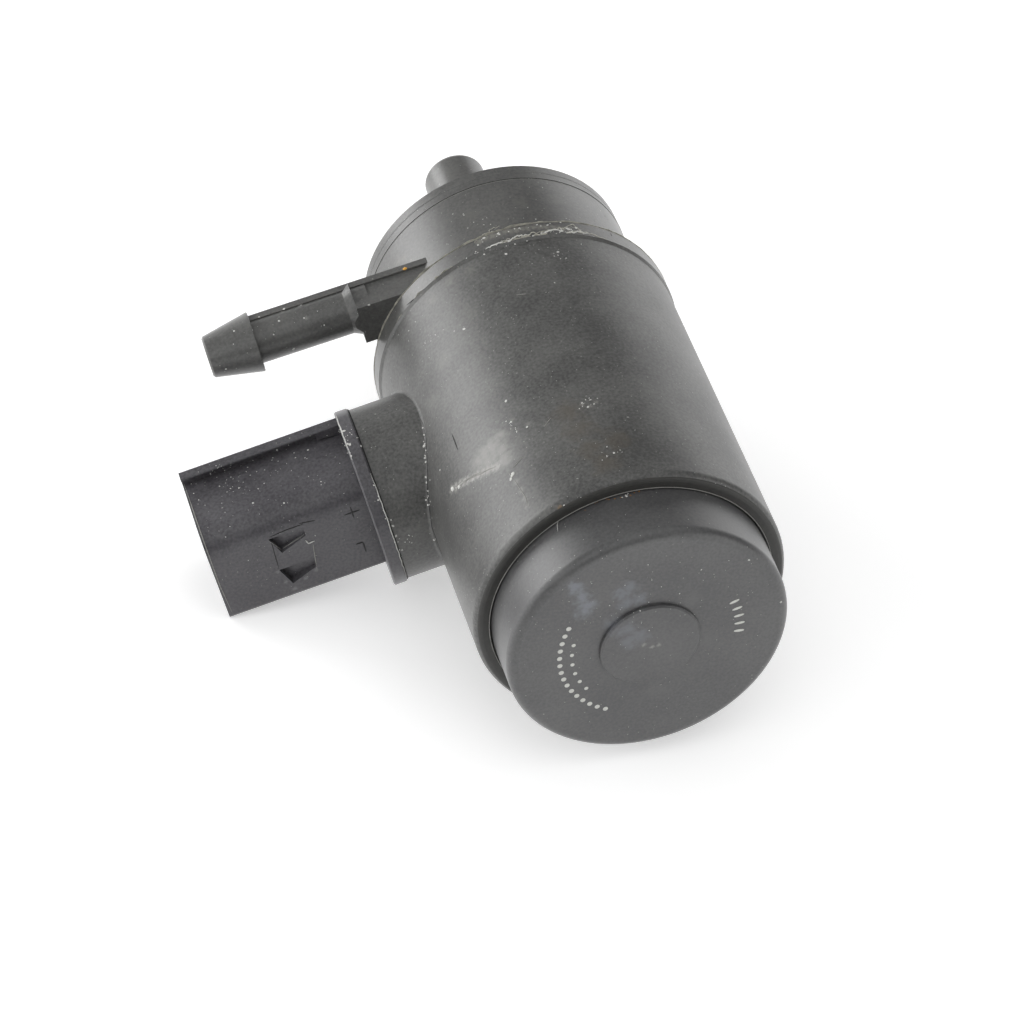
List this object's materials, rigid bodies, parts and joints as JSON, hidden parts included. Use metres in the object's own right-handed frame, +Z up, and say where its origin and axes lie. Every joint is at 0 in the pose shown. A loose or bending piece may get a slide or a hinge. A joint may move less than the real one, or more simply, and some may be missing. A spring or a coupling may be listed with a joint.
{
  "type": "windshield washer pump",
  "caption": "Small dark plastic washer pump: a motor barrel with end cap, a round pump head with axial inlet and barbed side outlet, and a side connector.",
  "frame": {"origin": "middle of the box round the pump on the surface that it lies on", "axes": "+Y along the motor shaft towards the inlet, +Z up from the surface, the connector and outlet point to -X"},
  "size_m": [0.0618, 0.0852, 0.0364],
  "materials": {
    "housing_plastic": "matte moulded, dark grey",
    "connector_plastic": "matte moulded, dark grey",
    "can_steel": "zinc plated",
    "shaft_steel": "ground",
    "core_steel": "stacked laminations",
    "spring_steel": "cold rolled",
    "bearing_bronze": "sintered",
    "copper": "enamelled wire or bare segments",
    "contact_bronze": "tinned strip",
    "magnet_ferrite": "sintered, dull",
    "brush_carbon": "pressed carbon",
    "inner_plastic": "natural nylon",
    "seal_rubber": "matte"
  },
  "bodies": {
    "pump": {"motor_housing": "housing_plastic", "end_cap": "housing_plastic", "pump_head": "housing_plastic", "pump_cover": "housing_plastic", "connector_socket": "connector_plastic", "cap_seal": "seal_rubber", "connector_seal": "seal_rubber", "shaft_seal": "seal_rubber", "seal_retainer": "inner_plastic", "brush_carrier": "inner_plastic", "motor_can": "can_steel", "magnet_upper": "magnet_ferrite", "magnet_lower": "magnet_ferrite", "magnet_spring_left": "spring_steel", "magnet_spring_right": "spring_steel", "front_bearing": "bearing_bronze", "rear_bearing": "bearing_bronze", "brush_positive": "brush_carbon", "brush_negative": "brush_carbon", "brush_spring_positive": "contact_bronze", "brush_spring_negative": "contact_bronze", "lead_positive": "contact_bronze", "lead_negative": "contact_bronze", "pin_positive": "contact_bronze", "pin_negative": "contact_bronze"},
    "rotor": {"motor_shaft": "shaft_steel", "armature_core": "core_steel", "armature_coil_1": "copper", "armature_coil_2": "copper", "armature_coil_3": "copper", "commutator_hub": "inner_plastic", "commutator_segments": "copper", "rotor_spacer": "inner_plastic", "rear_washer": "inner_plastic", "front_washer": "inner_plastic", "impeller": "inner_plastic"}
  },
  "joints": [
    {"name": "rotor_spin", "type": "hinge", "parent": "pump", "child": "rotor", "pos_m": [0.01275, -0.0349, 0.0182], "axis": [0, 1, 0], "continuous": true}
  ]
}
